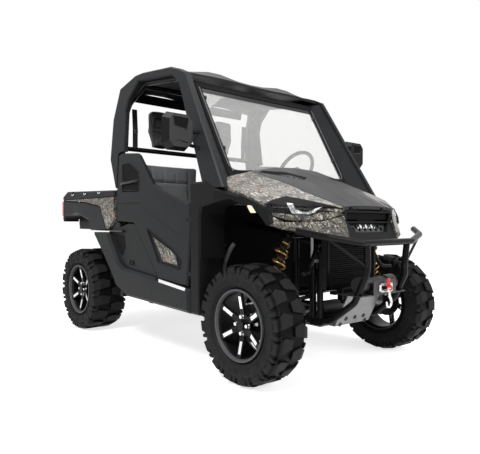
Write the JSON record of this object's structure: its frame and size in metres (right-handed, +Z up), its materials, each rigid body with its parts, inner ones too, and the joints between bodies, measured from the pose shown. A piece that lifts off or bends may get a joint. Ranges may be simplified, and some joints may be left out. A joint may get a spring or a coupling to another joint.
{
  "type": "side by side utv",
  "caption": "Open side by side utility vehicle with a roofed cab, half doors, a tilting cargo bed, a winch bumper and knobbly tyres.",
  "frame": {"origin": "on the ground under the middle of the vehicle's bounding box", "axes": "+X forward, +Y to the driver's side (left), +Z up"},
  "size_m": [2.884, 1.878, 1.9609],
  "materials": {
    "tyre_rubber": "matte tread rubber",
    "black_alloy": "black coated cast alloy",
    "black_paint": "black powder coat",
    "gold_paint": "gold powder coat",
    "cast_parts": "cast surface",
    "bare_steel": "bare steel",
    "black_plastic": "moulded black plastic",
    "charcoal_plastic": "moulded charcoal plastic",
    "grey_plastic": "satin dark grey plastic",
    "camo_plastic": "glossy plastic with a woodland camouflage print",
    "black_rubber": "rubber seal",
    "clear_pane": "clear pane",
    "red_lens": "red lamp lens",
    "seat_cloth": "grey seat cloth"
  },
  "bodies": {
    "chassis": {"suspension_arms": "black_paint", "rear_uprights": "cast_parts", "frame_rails": "black_paint", "frame_cross_members": "black_paint", "shock_absorbers": "bare_steel", "coil_springs": "gold_paint", "axle_cases": "cast_parts", "engine": "cast_parts", "drive_shafts": "bare_steel", "muffler": "bare_steel", "steering_column": "black_paint", "roll_cage": "black_paint", "cab_side_left": "charcoal_plastic", "cab_side_right": "charcoal_plastic", "roof": "charcoal_plastic", "windscreen": "clear_pane", "windscreen_seal": "black_rubber", "nose_covers": "camo_plastic", "headlamp_housings": "black_plastic", "headlamp_lenses": "clear_pane", "grille_mesh": "black_plastic", "grille_surround": "charcoal_plastic", "front_flares": "charcoal_plastic", "radiator": "black_plastic", "rockers": "charcoal_plastic", "side_panels": "charcoal_plastic", "cab_tub": "black_plastic", "dashboard": "black_plastic", "seat_cushions": "seat_cloth", "seat_backs": "seat_cloth", "headrests": "seat_cloth", "front_bumper": "black_paint", "winch": "black_paint", "skid_plate": "bare_steel", "hitch_receiver": "black_paint", "mirrors": "black_plastic"},
    "knuckle_left": {"knuckle_left": "cast_parts"},
    "knuckle_right": {"knuckle_right": "cast_parts"},
    "wheel_front_left": {"tyre_front_left": "tyre_rubber", "rim_front_left": "black_alloy"},
    "wheel_front_right": {"tyre_front_right": "tyre_rubber", "rim_front_right": "black_alloy"},
    "wheel_rear_left": {"tyre_rear_left": "tyre_rubber", "rim_rear_left": "black_alloy"},
    "wheel_rear_right": {"tyre_rear_right": "tyre_rubber", "rim_rear_right": "black_alloy"},
    "steering_wheel": {"steering_wheel": "black_plastic"},
    "steering_rack": {"steering_rack": "bare_steel"},
    "door_left": {"door_left": "charcoal_plastic"},
    "door_right": {"door_right": "charcoal_plastic"},
    "hood": {"hood": "grey_plastic"},
    "bed": {"bed_box": "charcoal_plastic", "bed_trim": "camo_plastic", "bed_flares": "charcoal_plastic", "tail_lamps": "red_lens"},
    "tailgate": {"tailgate": "charcoal_plastic"}
  },
  "joints": [
    {"name": "steering_wheel_turn", "type": "hinge", "parent": "chassis", "child": "steering_wheel", "pos_m": [0.3744, 0.33972, 1.26945], "axis": [-0.8387, 0, 0.5446], "range_deg": [-270, 270]},
    {"name": "steering_rack_slide", "type": "slide", "parent": "chassis", "child": "steering_rack", "axis": [0, 1, 0], "range_m": [-0.0525, 0.0525]},
    {"name": "knuckle_left_steer", "type": "hinge", "parent": "chassis", "child": "knuckle_left", "pos_m": [0.975, 0.58, 0.33], "axis": [0, 0, 1], "range_deg": [-25.1, 25.1]},
    {"name": "knuckle_right_steer", "type": "hinge", "parent": "chassis", "child": "knuckle_right", "pos_m": [0.975, -0.58, 0.33], "axis": [0, 0, 1], "range_deg": [-25.1, 25.1]},
    {"name": "wheel_front_left_spin", "type": "hinge", "parent": "knuckle_left", "child": "wheel_front_left", "pos_m": [0.975, 0.65, 0.33], "axis": [0, 1, 0], "continuous": true},
    {"name": "wheel_front_right_spin", "type": "hinge", "parent": "knuckle_right", "child": "wheel_front_right", "pos_m": [0.975, -0.65, 0.33], "axis": [0, 1, 0], "continuous": true},
    {"name": "wheel_rear_left_spin", "type": "hinge", "parent": "chassis", "child": "wheel_rear_left", "pos_m": [-0.975, 0.665, 0.33], "axis": [0, 1, 0], "continuous": true},
    {"name": "wheel_rear_right_spin", "type": "hinge", "parent": "chassis", "child": "wheel_rear_right", "pos_m": [-0.975, -0.665, 0.33], "axis": [0, 1, 0], "continuous": true},
    {"name": "door_left_hinge", "type": "hinge", "parent": "chassis", "child": "door_left", "pos_m": [0.522, 0.736, 0.57], "axis": [0, 0, -1], "range_deg": [0, 65]},
    {"name": "door_right_hinge", "type": "hinge", "parent": "chassis", "child": "door_right", "pos_m": [0.522, -0.736, 0.57], "axis": [0, 0, 1], "range_deg": [0, 65]},
    {"name": "hood_hinge", "type": "hinge", "parent": "chassis", "child": "hood", "pos_m": [1.283, 0, 0.968], "axis": [0, 1, 0], "range_deg": [0, 55]},
    {"name": "bed_tilt", "type": "hinge", "parent": "chassis", "child": "bed", "pos_m": [-1.25, 0, 0.72], "axis": [0, -1, 0], "range_deg": [0, 40]},
    {"name": "tailgate_hinge", "type": "hinge", "parent": "bed", "child": "tailgate", "pos_m": [-1.408, 0, 0.836], "axis": [0, -1, 0], "range_deg": [0, 90]}
  ],
  "couplings": [
    {"joint": "steering_rack_slide", "follows": "steering_wheel_turn", "m_per_rad": -0.011035},
    {"joint": "knuckle_left_steer", "follows": "steering_wheel_turn", "ratio": 0.092593},
    {"joint": "knuckle_right_steer", "follows": "steering_wheel_turn", "ratio": 0.092593}
  ]
}
